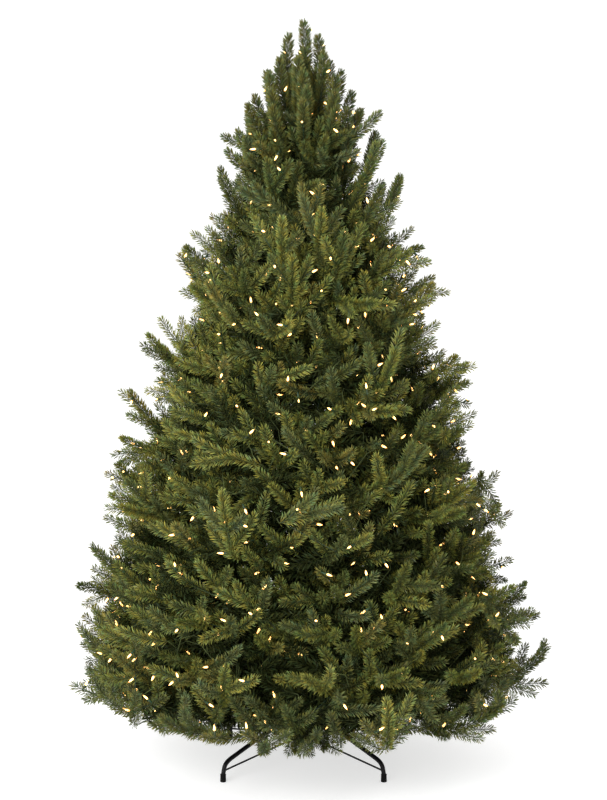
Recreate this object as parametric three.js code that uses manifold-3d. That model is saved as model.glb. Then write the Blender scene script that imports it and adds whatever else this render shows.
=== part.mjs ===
// An artificial spruce of the kind sold for Christmas, on a folding steel stand: a three-tube pole, hinged
// boughs in tiers, and wedge-shaped masses of needle sprays round the pole. Millimetres, +Z up, and the
// origin on the floor under the pole.
import * as THREE from "three";
import { mergeVertices } from "three/addons/utils/BufferGeometryUtils.js";
import Module from "manifold-3d";

const wasm = await Module();
wasm.setup();

// Driving sizes
const treeHeight = 2286; // 7.5 ft from the floor to the leader's tip
const crownReach = 762; // 60 in across the widest tips
const widestHeight = 330; // of the widest tips
const outlinePower = 0.68; // 1 would be a straight cone, less is fuller in the middle
const hemHeight = 146; // of the lowest needles
const hemRadius = 590;
const hemRise = 100; // the underside climbs this far from the hem to the pole
const seat = 0.3; // clearance where one piece bears on the next
const seed = 21;

// Each tier of masses: how many, the turn of the first, the height of its lower rim on the outline, the
// rise of its lower face per millimetre outwards, the tilt of its sprays, the width across flats of its
// collar, where its cores start, and whether boughs carry it
const tiers = [
  { masses: 6, turn: 0, rim: hemHeight, rise: 0, tilt: 27, collarFlats: 60, coreStart: 215, boughs: true },
  { masses: 6, turn: 30, rim: 500, rise: 0.35, tilt: 30, collarFlats: 60, coreStart: 180, boughs: true },
  { masses: 5, turn: 18, rim: 860, rise: 0.42, tilt: 34, collarFlats: 54, coreStart: 140, boughs: true },
  { masses: 4, turn: 0, rim: 1215, rise: 0.5, tilt: 38, collarFlats: 46, coreStart: 46, boughs: false },
  { masses: 3, turn: 40, rim: 1545, rise: 0.6, tilt: 43, collarFlats: 40, coreStart: 36, boughs: false },
];
const topRim = 1850; // lower rim of the top mass, on the outline
const topRise = 0.6;

// Sprays of needles
const spray = {
  length: 120,
  coreRadius: 8,
  rootRadius: 4.8,
  middle: 0.44, // share of the length at which the core is thickest
  barbs: { lower: { share: 0.6, reach: 38 }, upper: { share: 0.88, reach: 23 } },
  pitch: 152, // between sprays round a tier
  rows: 3,
  inset: 24, // most that a tip stands back from the outline
  heading: 24, // degrees to either side of straight out
  tiltSpread: 9,
  clearance: 4, // kept from the faces of the mass's own space
};
const scatter = { height: 40, column: 0.3, stagger: 0.24 }; // column and stagger are shares of the pitch
const widestSprays = [-0.88, 0, 0.88]; // of each lowest mass, as shares of its half angle
const underSprays = { count: 3, height: 26, tilt: -6, back: 150, backSpread: 60, spread: 0.62 };
const core = {
  inset: 100, // from the outline to the dense core of a mass
  lowerBevel: 35,
  upperBevel: 20,
  bevelHeight: 0.1, // share of the space's height
  width: 0.94, // share of the space's angle
  margin: 0.03, // share of the space's height left above and below
  drawIn: { inset: 30, margin: 0.05, start: 0.25 }, // how the two side faces shrink
  inner: { low: 0.38, high: 0.62, clear: 1.06 }, // of its narrow edge by the pole
  sections: 5,
  rough: 26,
};
const stemRadius = { start: 6, end: 4 };
const twigRadius = 3.2;
const twigSlant = 0.8; // how far along the stem a twig leans for each step aside

// The top mass: rings of sprays above its rim, and the height, above the rim, of its core's corners
const topSprays = [
  { rise: 50, sprays: 8, tilt: 44 },
  { rise: 165, sprays: 6, tilt: 50 },
  { rise: 275, sprays: 5, tilt: 58 },
  { rise: 365, sprays: 2, tilt: 72 },
];
const topCore = { sides: 9, waist: { radius: 100, rise: 80 }, shoulders: [20, 150, 270, 370] };

// Pole and boughs
const pole = {
  sides: 10,
  sections: [
    { name: "lower", radius: 16, end: 750 },
    { name: "middle", radius: 14.5, end: 1350 },
    { name: "upper", radius: 12.5, end: 1696 },
  ],
  sleeve: { length: 46, wall: 2, taper: 5 },
  collarHeight: 24,
};
const bough = { sides: 6, rootRadius: 8, tipRadius: 6.5 };

// Stand
const stand = {
  legs: 4,
  turn: 45,
  socket: { radius: 22, bore: 17.3, floor: 62, bottom: 54, top: 196, rim: 2.5, rimHeight: 8, sides: 12 },
  hub: { flats: 50, height: 24 }, // the two blocks that the legs and the braces bear on
  leg: {
    radius: 6.75,
    sides: 8,
    top: 158, // height at the socket
    neckBend: 14,
    kneeRadius: 331,
    kneeHeight: 57,
    kneeBend: 20,
    bendSteps: 3,
  },
  footRadius: 340, // from the pole's axis to the middle of a foot
  brace: { radius: 2.8, sides: 6, hubHeight: 76, legHeight: 34 },
  cap: { radius: 9, height: 24, floor: 4, play: 1.2, sides: 12 },
};

const radians = THREE.MathUtils.degToRad;
const lerp = THREE.MathUtils.lerp;

const materials = {
  needles: new THREE.MeshStandardMaterial({ color: 0x3f5a2c, roughness: 0.75 }),
  bark: new THREE.MeshStandardMaterial({ color: 0x2a331d, roughness: 0.8 }),
  pole: new THREE.MeshStandardMaterial({ color: 0x24381f, roughness: 0.5, metalness: 0.3 }),
  steel: new THREE.MeshStandardMaterial({ color: 0x0c0c0d, roughness: 0.35, metalness: 0.5 }),
  rubber: new THREE.MeshStandardMaterial({ color: 0x101011, roughness: 0.8 }),
};

const tree = new THREE.Group();

function add(name, geometry, material, turn = 0) {
  const mesh = new THREE.Mesh(geometry, materials[material]);
  mesh.name = name;
  mesh.rotation.z = radians(turn);
  tree.add(mesh);
  return mesh;
}

// Evenly spread numbers from 0 to 1 that come out the same on every run
function seededRandom(start) {
  let state = start >>> 0;
  return () => {
    state = (state * 1664525 + 1013904223) >>> 0;
    return state / 4294967296;
  };
}

function solidOf(geometry) {
  const bare = new THREE.BufferGeometry().setAttribute("position", geometry.getAttribute("position"));
  bare.setIndex(geometry.index);
  const merged = mergeVertices(bare, 1e-3);
  const corners = merged.index.array;
  const faces = [];
  for (let i = 0; i < corners.length; i += 3) {
    const [a, b, c] = corners.slice(i, i + 3);
    if (a !== b && b !== c && c !== a) faces.push(a, b, c);
  }
  return new wasm.Manifold(
    new wasm.Mesh({
      numProp: 3,
      vertProperties: merged.attributes.position.array,
      triVerts: new Uint32Array(faces),
    }),
  );
}

function geometryOf(solid) {
  const mesh = solid.getMesh();
  return new THREE.BufferGeometry()
    .setAttribute("position", new THREE.BufferAttribute(mesh.vertProperties, 3))
    .setIndex(new THREE.BufferAttribute(mesh.triVerts, 1));
}

const joined = (solids) => solids.reduce((whole, piece) => whole.add(piece));

// A closed skin from rings of equal count, with a fan over each end
function loft(rings) {
  const points = rings.flat();
  const sides = rings[0].length;
  const faces = [];
  for (let k = 0; k + 1 < rings.length; k++)
    for (let i = 0; i < sides; i++) {
      const a = k * sides + i;
      const b = k * sides + ((i + 1) % sides);
      faces.push(a, b, b + sides, a, b + sides, a + sides);
    }
  const last = (rings.length - 1) * sides;
  for (let i = 1; i + 1 < sides; i++) {
    faces.push(0, i + 1, i);
    faces.push(last, last + i, last + i + 1);
  }
  return new THREE.BufferGeometry().setFromPoints(points).setIndex(faces);
}

function ringAt(centre, across, up, radius, sides) {
  return Array.from({ length: sides }, (_, i) => {
    const angle = (2 * Math.PI * i) / sides;
    return centre
      .clone()
      .addScaledVector(across, radius * Math.cos(angle))
      .addScaledVector(up, radius * Math.sin(angle));
  });
}

// Two directions square to the given one, so that across, up and along are right-handed
function squareTo(along, roll) {
  const side = Math.abs(along.z) < 0.9 ? new THREE.Vector3(0, 0, 1) : new THREE.Vector3(1, 0, 0);
  const across = new THREE.Vector3().crossVectors(side, along).normalize().applyAxisAngle(along, roll);
  return { across, up: new THREE.Vector3().crossVectors(along, across) };
}

// A straight limb whose two ends stand upright and face the pole
function limb(from, to, fromRadius, toRadius, sides) {
  const across = new THREE.Vector3(0, 1, 0);
  const up = new THREE.Vector3(0, 0, 1);
  return loft([ringAt(from, across, up, fromRadius, sides), ringAt(to, across, up, toRadius, sides)]);
}

// A turned body from [radius, height] pairs that start and end on the axis. Phase is the first corner's angle.
function turned(profile, sides, phase = 0) {
  const points = profile.map(([radius, z]) => new THREE.Vector2(radius, z));
  return new THREE.LatheGeometry(points, sides, phase + Math.PI / 2).rotateX(Math.PI / 2);
}

// A path that steps straight from each of its points to the next
class BentPath extends THREE.Curve {
  constructor(points) {
    super();
    this.points = points;
  }

  getPoint(t) {
    const place = t * (this.points.length - 1);
    const k = Math.min(Math.floor(place), this.points.length - 2);
    return this.points[k].clone().lerp(this.points[k + 1], place - k);
  }

  getUtoTmapping(u) {
    return u;
  }
}

// ---- The space of each mass ----

function outlineRadius(z) {
  if (z > widestHeight)
    return crownReach * ((treeHeight - z) / (treeHeight - widestHeight)) ** outlinePower;
  return lerp(hemRadius, crownReach, (z - hemHeight) / (widestHeight - hemHeight));
}

const rimOf = (tier) => (tier < tiers.length ? tiers[tier].rim : tier === tiers.length ? topRim : treeHeight);

// Height of a tier's lower face at a distance from the pole
function faceHeight(tier, radius) {
  if (tier === 0) return hemHeight + hemRise * (1 - radius / hemRadius);
  if (tier > tiers.length) return treeHeight;
  const rise = tier < tiers.length ? tiers[tier].rise : topRise;
  return rimOf(tier) - rise * (outlineRadius(rimOf(tier)) - radius);
}

// The height that is a share of the way from the tier's lower face to its upper one
const levelHeight = (tier, share, radius) =>
  lerp(faceHeight(tier, radius), faceHeight(tier + 1, radius), share);

const polar = (radius, angle, z) => new THREE.Vector3(radius * Math.cos(angle), radius * Math.sin(angle), z);

// Whether a point keeps to the space of a mass whose middle lies along +X
function isInside(point, tier, halfAngle, clearance) {
  const radius = Math.hypot(point.x, point.y);
  if (halfAngle < Math.PI) {
    const fromSide = radius * Math.sin(halfAngle - Math.abs(Math.atan2(point.y, point.x)));
    if (fromSide < clearance) return false;
  }
  return (
    point.z > faceHeight(tier, radius) + clearance && point.z < faceHeight(tier + 1, radius) - clearance
  );
}

// ---- Sprays, cores and masses ----

// A three-sided twig that ends in a spray of needles: a slim core with two whorls of barbs and a point
function twigWithSpray(start, root, tip, roll) {
  const along = tip.clone().sub(root).normalize();
  const length = root.distanceTo(tip);
  const frame = squareTo(along, roll);
  const twigWay = root.clone().sub(start).normalize();
  const bend = new THREE.Quaternion().setFromUnitVectors(along, twigWay);
  const twigFrame = [frame.across, frame.up].map((v) => v.clone().applyQuaternion(bend));
  const middle = root.clone().addScaledVector(along, spray.middle * length);
  const rings = [
    ringAt(start, ...twigFrame, twigRadius, 3),
    ringAt(root, frame.across, frame.up, spray.rootRadius, 3),
    ringAt(middle, frame.across, frame.up, spray.coreRadius, 3),
  ];
  const points = [...rings.flat(), tip];
  const tipIndex = 9;
  const faces = [0, 2, 1];
  const barb = (share, reach, i) => {
    const angle = (2 * Math.PI * (i + 0.5)) / 3;
    points.push(
      root
        .clone()
        .addScaledVector(along, share * length)
        .addScaledVector(frame.across, reach * Math.cos(angle))
        .addScaledVector(frame.up, reach * Math.sin(angle)),
    );
    return points.length - 1;
  };
  for (let i = 0; i < 3; i++) {
    const j = (i + 1) % 3;
    faces.push(i, j, 3 + j, i, 3 + j, 3 + i); // the twig
    const lower = barb(spray.barbs.lower.share, spray.barbs.lower.reach, i);
    faces.push(3 + i, 3 + j, lower, 3 + j, 6 + j, lower, 6 + j, 6 + i, lower, 6 + i, 3 + i, lower);
    const upper = barb(spray.barbs.upper.share, spray.barbs.upper.reach, i);
    faces.push(6 + i, 6 + j, upper, 6 + j, tipIndex, upper, tipIndex, 6 + i, upper);
  }
  return { points, geometry: new THREE.BufferGeometry().setFromPoints(points).setIndex(faces) };
}

// The dense heart of a mass: upright sections, each a six-cornered slice of the space, joined round the tree
function coreOf(tier, halfAngle, random) {
  const { coreStart } = tiers[tier];
  const { drawIn, inner, inset } = core;
  const corner = (share, standBack, angle) => {
    const outline = outlineRadius(lerp(rimOf(tier), rimOf(tier + 1), share));
    const radius = outline - standBack + core.rough * (random() - 0.5);
    return polar(radius, angle, levelHeight(tier, share, radius));
  };
  const sections = Array.from({ length: core.sections }, (_, i) => {
    const side = 1 - (2 * i) / (core.sections - 1);
    const angle = side * halfAngle * core.width;
    const edge = side ** 4;
    const back = inset + drawIn.inset * edge;
    const low = core.margin + drawIn.margin * edge;
    const start = coreStart * (inner.clear + drawIn.start * edge);
    return [
      polar(start, angle, levelHeight(tier, inner.low, start)),
      corner(low, back + core.lowerBevel, angle),
      corner(low + core.bevelHeight, back, angle),
      corner(1 - low - core.bevelHeight, back, angle),
      corner(1 - low, back + core.upperBevel, angle),
      polar(start, angle, levelHeight(tier, inner.high, start)),
    ];
  });
  return loft(sections);
}

// Where each spray of a tier's mass wants its tip: rows up the outline, each stepped by half a pitch
function sprayPlaces(tier, halfAngle, random) {
  const places = [];
  const spread = (width) => width * (random() - 0.5);
  for (let row = 0; row < spray.rows; row++) {
    const z = lerp(rimOf(tier), rimOf(tier + 1), (row + 0.5 + spread(scatter.column)) / spray.rows);
    const columns = Math.max(3, Math.round((2 * halfAngle * outlineRadius(z)) / spray.pitch));
    const stagger = row % 2 ? scatter.stagger : -scatter.stagger;
    for (let column = 0; column < columns; column++) {
      const step = (column + 0.5 + stagger + spread(scatter.column)) / columns;
      places.push({
        angle: halfAngle * (2 * step - 1),
        z: z + spread(scatter.height),
        tilt: tiers[tier].tilt,
      });
    }
  }
  if (tier > 0) return places;
  for (const share of widestSprays)
    places.push({ angle: halfAngle * share, z: widestHeight, tilt: tiers[tier].tilt, back: 0 });
  const { count, height, tilt, back, backSpread, spread: share } = underSprays;
  for (let i = 0; i < count; i++)
    places.push({
      angle: halfAngle * share * (i - (count - 1) / 2),
      z: hemHeight + height,
      tilt,
      back: back + spread(backSpread),
    });
  return places;
}

// A spray that fits its space, tried straighter each time, or nothing
function fitSpray(place, stem, tier, halfAngle, random) {
  const back = place.back ?? spray.inset * random();
  const heading = radians(spray.heading * (2 * random() - 1));
  const spread = radians(spray.tiltSpread * (2 * random() - 1));
  const roll = 2 * Math.PI * random();
  const tip = polar(outlineRadius(place.z) - back, place.angle, place.z);
  for (const ease of [1, 0.5, 0]) {
    const way = place.angle + ease * heading;
    const tilt = radians(place.tilt) + ease * spread;
    const along = polar(Math.cos(tilt), way, Math.sin(tilt));
    const root = tip.clone().addScaledVector(along, -spray.length);
    const reach = root.clone().sub(stem.from).dot(stem.along);
    const aside = Math.hypot(root.y, root.z - stem.from.z - reach * stem.along.z);
    const station = THREE.MathUtils.clamp(reach - twigSlant * aside, 12, stem.length - 4);
    const start = stem.from.clone().addScaledVector(stem.along, station);
    const made = twigWithSpray(start, root, tip, roll);
    if (made.points.every((p) => isInside(p, tier, halfAngle, spray.clearance))) return made.geometry;
  }
  return null;
}

// The tier's limbs run out along the middle of its space
const limbPoint = (tier, radius) => polar(radius, 0, levelHeight(tier, 0.5, radius));

const collarRadius = (tier) => tiers[tier].collarFlats / 2;

function massOf(tier, index) {
  const halfAngle = Math.PI / tiers[tier].masses;
  const random = seededRandom(seed + 100 * tier + index);
  const stemEnd = outlineRadius(lerp(rimOf(tier), rimOf(tier + 1), 0.5)) - spray.length * 0.9;
  const from = limbPoint(tier, tiers[tier].boughs ? tiers[tier].coreStart : collarRadius(tier) + seat);
  const to = limbPoint(tier, stemEnd);
  const stem = { from, along: to.clone().sub(from).normalize(), length: from.distanceTo(to) };
  const sprays = sprayPlaces(tier, halfAngle, random)
    .map((place) => fitSpray(place, stem, tier, halfAngle, random))
    .filter(Boolean);
  const stemSolid = limb(from, to, stemRadius.start, stemRadius.end, 6);
  return joined([coreOf(tier, halfAngle, random), stemSolid, ...sprays].map(solidOf));
}


// The top of the tree: a round core on the pole's end, sprays about it, and the leader
function topMass() {
  const tier = tiers.length;
  const random = seededRandom(seed + 100 * tier);
  const base = pole.sections.at(-1).end + seat;
  const leaderRoot = polar(0, 0, treeHeight - spray.length);
  const stem = { from: polar(0, 0, base), along: new THREE.Vector3(0, 0, 1), length: leaderRoot.z - base };
  const shoulders = topCore.shoulders.map((rise) => {
    const z = topRim + rise;
    const inset = core.inset * Math.sqrt((treeHeight - z) / (treeHeight - topRim));
    return [outlineRadius(z) - inset, z];
  });
  const heart = turned(
    [
      [0, base],
      [stemRadius.start, base],
      [topCore.waist.radius, base + topCore.waist.rise],
      ...shoulders,
      [0, shoulders.at(-1)[1]],
    ],
    topCore.sides,
  );
  const places = topSprays.flatMap(({ rise, sprays, tilt }, ring) =>
    Array.from({ length: sprays }, (_, i) => ({
      angle: (2 * Math.PI * (i + 0.5 * (ring % 2) + scatter.column * random())) / sprays,
      z: topRim + rise + scatter.height * (random() - 0.5),
      tilt,
    })),
  );
  const sprays = places.map((place) => fitSpray(place, stem, tier, Math.PI, random)).filter(Boolean);
  const leader = twigWithSpray(polar(0, 0, base + stem.length / 2), leaderRoot, polar(0, 0, treeHeight), 0);
  return joined([heart, leader.geometry, ...sprays].map(solidOf));
}

for (let tier = 0; tier < tiers.length; tier++) {
  const { masses, turn, coreStart, boughs } = tiers[tier];
  for (let i = 0; i < masses; i++) {
    const angle = turn + (360 / masses) * i;
    add(`foliage_tier${tier + 1}_${i + 1}`, geometryOf(massOf(tier, i)), "needles", angle);
    if (!boughs) continue;
    const root = limbPoint(tier, collarRadius(tier) + seat);
    const end = limbPoint(tier, coreStart - seat);
    const limbGeometry = limb(root, end, bough.rootRadius, bough.tipRadius, bough.sides);
    add(`bough_tier${tier + 1}_${i + 1}`, limbGeometry, "bark", angle);
  }
}
add("foliage_top", geometryOf(topMass()), "needles");

// ---- The pole ----

function collarOf(tier) {
  const sides = 2 * tiers[tier].masses;
  const radius = collarRadius(tier) / Math.cos(Math.PI / sides);
  const middle = limbPoint(tier, collarRadius(tier)).z;
  const phase = radians(tiers[tier].turn) + Math.PI / sides;
  const half = pole.collarHeight / 2;
  return turned(
    [
      [0, middle - half],
      [radius, middle - half],
      [radius, middle + half],
      [0, middle + half],
    ],
    sides,
    phase,
  );
}

function poleSection(index) {
  const { radius, end } = pole.sections[index];
  const start = (index ? pole.sections[index - 1].end : stand.socket.floor) + seat;
  const { length, wall, taper } = pole.sleeve;
  const sleeve = [
    [radius, end - length - taper],
    [radius + wall, end - length],
  ];
  const isTop = index + 1 === pole.sections.length;
  const profile = [
    [0, start],
    [radius, start],
    ...(isTop ? [] : sleeve),
    [radius + (isTop ? 0 : wall), end],
    [0, end],
  ];
  const collars = tiers
    .map((_, tier) => tier)
    .filter((tier) => limbPoint(tier, 0).z > start && limbPoint(tier, 0).z < end)
    .map(collarOf);
  return joined([turned(profile, pole.sides), ...collars].map(solidOf));
}

pole.sections.forEach(({ name }, i) => add(`pole_${name}`, geometryOf(poleSection(i)), "pole"));

// ---- The stand ----

function socketGeometry() {
  const { radius, bore, floor, bottom, top, rim, rimHeight, sides } = stand.socket;
  const body = turned(
    [
      [0, bottom],
      [radius, bottom],
      [radius, top - rimHeight],
      [radius + rim, top - rimHeight + rim],
      [radius + rim, top],
      [0, top],
    ],
    sides,
  );
  const { flats, height } = stand.hub;
  const block = (z) => new THREE.BoxGeometry(flats, flats, height).translate(0, 0, z);
  const hole = new THREE.CylinderGeometry(bore, bore, top, sides)
    .rotateX(Math.PI / 2)
    .translate(0, 0, floor + top / 2);
  const solid = joined([body, block(stand.leg.top), block(stand.brace.hubHeight)].map(solidOf));
  return geometryOf(solid.subtract(solidOf(hole)));
}

// Corners of a leg's middle line, in the upright plane through the pole and the foot
function legPoints() {
  const { top, kneeRadius, kneeHeight, kneeBend, neckBend, bendSteps } = stand.leg;
  const start = polar(stand.hub.flats / 2 + seat, 0, top);
  const neck = polar(start.x + neckBend, 0, top);
  const knee = polar(kneeRadius, 0, kneeHeight);
  const foot = polar(stand.footRadius, 0, stand.cap.floor + seat);
  const ankle = polar(stand.footRadius, 0, stand.cap.height + 1);
  const from = (a, b, distance) => a.clone().addScaledVector(b.clone().sub(a).normalize(), distance);
  const bend = (a, corner, b, distance) =>
    new THREE.QuadraticBezierCurve3(from(corner, a, distance), corner, from(corner, b, distance));
  return [
    start,
    ...bend(start, neck, knee, neckBend * 0.8).getPoints(2),
    ...bend(neck, knee, ankle, kneeBend).getPoints(bendSteps),
    ankle,
    foot,
  ];
}

function legGeometry() {
  const { radius, sides } = stand.leg;
  const section = new THREE.Shape(
    Array.from({ length: sides }, (_, i) => {
      const angle = (2 * Math.PI * (i + 0.5)) / sides;
      return new THREE.Vector2(radius * Math.cos(angle), radius * Math.sin(angle));
    }),
  );
  const points = legPoints();
  return new THREE.ExtrudeGeometry(section, {
    steps: points.length - 1,
    bevelEnabled: false,
    extrudePath: new BentPath(points),
  });
}

// Straight rods that tie the foot of each leg to the socket
function braceGeometry() {
  const { radius, sides, hubHeight, legHeight } = stand.brace;
  const [knee, ankle] = legPoints().slice(-3);
  const legRadius = lerp(ankle.x, knee.x, (legHeight - ankle.z) / (knee.z - ankle.z));
  const root = polar(stand.hub.flats / 2 + seat, 0, hubHeight);
  const end = polar(legRadius - stand.leg.radius - 3 * seat, 0, legHeight);
  return limb(root, end, radius, radius, sides);
}

function footCap() {
  const { radius, height, floor, play, sides } = stand.cap;
  const bore = stand.leg.radius + play;
  return turned(
    [
      [0, 0],
      [radius, 0],
      [radius, height],
      [bore, height],
      [bore, floor],
      [0, floor],
    ],
    sides,
  );
}

add("stand_socket", socketGeometry(), "steel", stand.turn);
for (let i = 0; i < stand.legs; i++) {
  const angle = stand.turn + (360 / stand.legs) * i;
  add(`stand_leg_${i + 1}`, legGeometry(), "steel", angle);
  add(`stand_brace_${i + 1}`, braceGeometry(), "steel", angle);
  const foot = polar(stand.footRadius, radians(angle), 0);
  add(`stand_foot_${i + 1}`, footCap(), "rubber", angle).position.copy(foot);
}

export default tree;
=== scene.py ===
from math import atan2, cos, hypot, pi, radians, remainder, sin, tau

import bpy
import numpy as np
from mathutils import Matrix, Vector
from numpy.linalg import norm


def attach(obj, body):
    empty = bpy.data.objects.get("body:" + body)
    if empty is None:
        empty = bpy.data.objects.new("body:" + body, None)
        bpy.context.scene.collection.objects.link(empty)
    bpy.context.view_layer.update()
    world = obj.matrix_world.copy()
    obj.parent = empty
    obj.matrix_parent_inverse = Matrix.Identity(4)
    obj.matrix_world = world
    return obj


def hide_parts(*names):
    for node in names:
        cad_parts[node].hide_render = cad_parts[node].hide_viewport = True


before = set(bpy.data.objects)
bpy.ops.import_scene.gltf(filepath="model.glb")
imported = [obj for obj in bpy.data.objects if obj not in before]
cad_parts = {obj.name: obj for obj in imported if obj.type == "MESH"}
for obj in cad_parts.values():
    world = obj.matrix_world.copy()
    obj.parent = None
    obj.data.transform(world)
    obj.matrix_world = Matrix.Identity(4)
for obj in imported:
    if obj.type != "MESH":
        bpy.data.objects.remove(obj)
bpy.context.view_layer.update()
scene = bpy.context.scene
scene.view_settings.view_transform = "Standard"


def fromHex(text):  # sRGB hex to linear
    channels = [int(text[i : i + 2], 16) / 255 for i in (0, 2, 4)]
    return (*[c / 12.92 if c <= 0.04045 else ((c + 0.055) / 1.055) ** 2.4 for c in channels], 1.0)


def addNode(tree, kind, inputs=None, **settings):  # inputs: socket to a value, a node or a node's output
    node = tree.nodes.new(kind)
    for name, value in settings.items():
        setattr(node, name, value)
    for socket, value in (inputs or {}).items():
        if isinstance(value, bpy.types.Node):
            value = value.outputs[0]
        if isinstance(value, bpy.types.NodeSocket):
            tree.links.new(value, node.inputs[socket])
        else:
            node.inputs[socket].default_value = value
    return node


def newObject(name, data):
    made = bpy.data.objects.new(name, data)
    scene.collection.objects.link(made)
    return made


def meshObject(name, vertices, faces, edges=()):
    mesh = bpy.data.meshes.new(name)
    mesh.from_pydata([tuple(v) for v in vertices], edges, faces)
    return newObject(name, mesh)


def newMaterial(name, values):  # a material and its shader, with some of the shader's sockets set
    material = bpy.data.materials.new(name)
    material.use_nodes = True
    shader = material.node_tree.nodes["Principled BSDF"]
    for socket, value in values.items():
        shader.inputs[socket].default_value = value
    return material, shader


def setValues(mesh, name, kind, values):  # an attribute at the mesh's points
    mesh.attributes.new(name, kind, "POINT").data.foreach_set(
        "vector" if kind == "FLOAT_VECTOR" else "value", np.asarray(values, np.float32).ravel()
    )


studio = {
    "cameraPlace": (0.0, -5.2, 1.5),
    "cameraDown": 4.087,  # degrees below level
    "cameraFar": 60,
    "lens": 75.99,
    "sky": 1.15,
    "floor": "C4C4C4",
    "floorHalf": 30,
    "floorRoughness": 0.9,
    "floorGlow": 0.6,  # a light-table floor, so that its shadows stay pale
    "keyPlace": (-2.4, -4.4, 2.7),
    "keyAim": (0, 0, 1.0),
    "keySize": 2.8,
    "keyPower": 300.0,
}


def buildStudio():
    camera = newObject("camera", bpy.data.cameras.new("camera"))
    camera.location = studio["cameraPlace"]
    camera.rotation_euler = (radians(90 - studio["cameraDown"]), 0, 0)
    camera.data.lens = studio["lens"]
    camera.data.clip_end = studio["cameraFar"]
    scene.camera = camera

    world = bpy.data.worlds.new("softBox")
    world.use_nodes = True
    sky = world.node_tree.nodes["Background"]
    sky.inputs["Color"].default_value = (1, 1, 1, 1)
    sky.inputs["Strength"].default_value = studio["sky"]
    scene.world = world

    lamp = bpy.data.lights.new("key", "AREA")
    lamp.size = studio["keySize"]
    lamp.energy = studio["keyPower"]
    key = newObject("key", lamp)
    key.location = studio["keyPlace"]
    aim = Vector(studio["keyAim"]) - key.location
    key.rotation_euler = aim.to_track_quat("-Z", "Y").to_euler()

    sockets = {
        "Base Color": fromHex(studio["floor"]),
        "Roughness": studio["floorRoughness"],
        "Emission Color": (1, 1, 1, 1),
        "Emission Strength": studio["floorGlow"],
    }
    half = studio["floorHalf"]
    corners = [(-half, -half, 0), (half, -half, 0), (half, half, 0), (-half, half, 0)]
    floor = meshObject("floor", corners, [(0, 1, 2, 3)])
    floor.data.materials.append(newMaterial("matt paper floor", sockets)[0])


buildStudio()
print("studio ready")


# how the crown grows: the solids' own rule, carried to finer twigs
crown = {
    "height": 2.286,
    "reach": 0.762,
    "widest": 0.33,  # height of the widest place
    "power": 0.68,  # of the outline's curve above it
    "hemHeight": 0.146,
    "hemRadius": 0.59,
    "hemRise": 0.1,  # of the hem towards the pole
    "hemTilt": (14, 16),  # degrees of slope at the hem, and more at the widest place
    "topRim": 1.85,
    "topRise": 0.6,
    "topTilt": (54, 12),  # the same at the top's rim, and more where the spire starts
    "spire": [  # count, turn, radius, height and tilt of the sprays at the top
        (1, 0, 0, 2.27, 89),
        (2, 4, 0.045, 2.23, 87),
        (2, 94, 0.032, 2.185, 85),
        (6, 25, 0.084, 2.165, 79),
        (4, 50, 0.05, 2.12, 82),
        (7, 10, 0.116, 2.112, 73),
        (8, 0, 0.146, 2.06, 66),
        (10, 20, 0.174, 2.006, 59),
    ],
    "spireFrom": 1.98,  # no cluster ends above this
    "spireLength": 0.19,
    "spireLoose": (0.16, 0.016),  # spread of these sprays' turns and heights
    "tipLoose": 0.2,  # share of it that the few at the tip have
    "hanging": [  # angle, radius, height and tilt of the clusters that hang in front
        (-88, 0.58, 0.17, -42),
        (-92, 0.57, 0.188, -26),
        (-84, 0.57, 0.194, -26),
    ],
    "seed": 21,
}
tierKeys = ("masses", "turn", "rim", "rise", "tilt", "collar", "coreStart", "limb")
tiers = [
    dict(zip(tierKeys, row))
    for row in (
        (6, 0, 0.146, 0, 29, 0.03, 0.215, True),
        (6, 30, 0.5, 0.35, 32, 0.03, 0.18, True),
        (5, 18, 0.86, 0.42, 36, 0.027, 0.14, True),
        (4, 0, 1.215, 0.5, 41, 0.023, 0.023, False),
        (3, 40, 1.545, 0.6, 47, 0.02, 0.02, False),
    )
]
rims = [spec["rim"] for spec in tiers] + [crown["topRim"], crown["height"]]
boughs = {
    "radii": (0.0072, 0.0028),  # at root and tip
    "points": 12,
    "sides": 10,
    "forks": [(-0.62, 0.3), (0.62, 0.28), (0.0, 0.52), (-0.38, 0.8), (0.42, 0.76)],  # angle and height shares
    "spread": 0.9,  # share of a mass's half angle
    "levels": (0.12, 0.76),  # share of a mass's height under the lowest end, and the range of the ends
    "slopeFrom": 0.3,  # radius from which a mass's slope is taken
    "slopeSpan": 0.1,
    "endSlope": 0.7,  # share of that slope at a bough's end
    "bend": 0.35,  # length of its curve's handles
    "seat": 0.0003,
    "standBack": 0.15,  # of a bough's end from the outline
    "bare": 0.12,  # share of a bough that carries no needles
    "topRoot": 1.697,
    "topEnds": [  # count, turn, share of the radius, height and stagger of the top's boughs
        (1, 0, 0, 2.05, 0),
        (6, 0, 0.75, 1.88, 0.04),
        (5, 0.5, 0.5, 1.99, 0),
    ],
    "topRise": 0.1,
    "topSink": 0.06,
}
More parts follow.
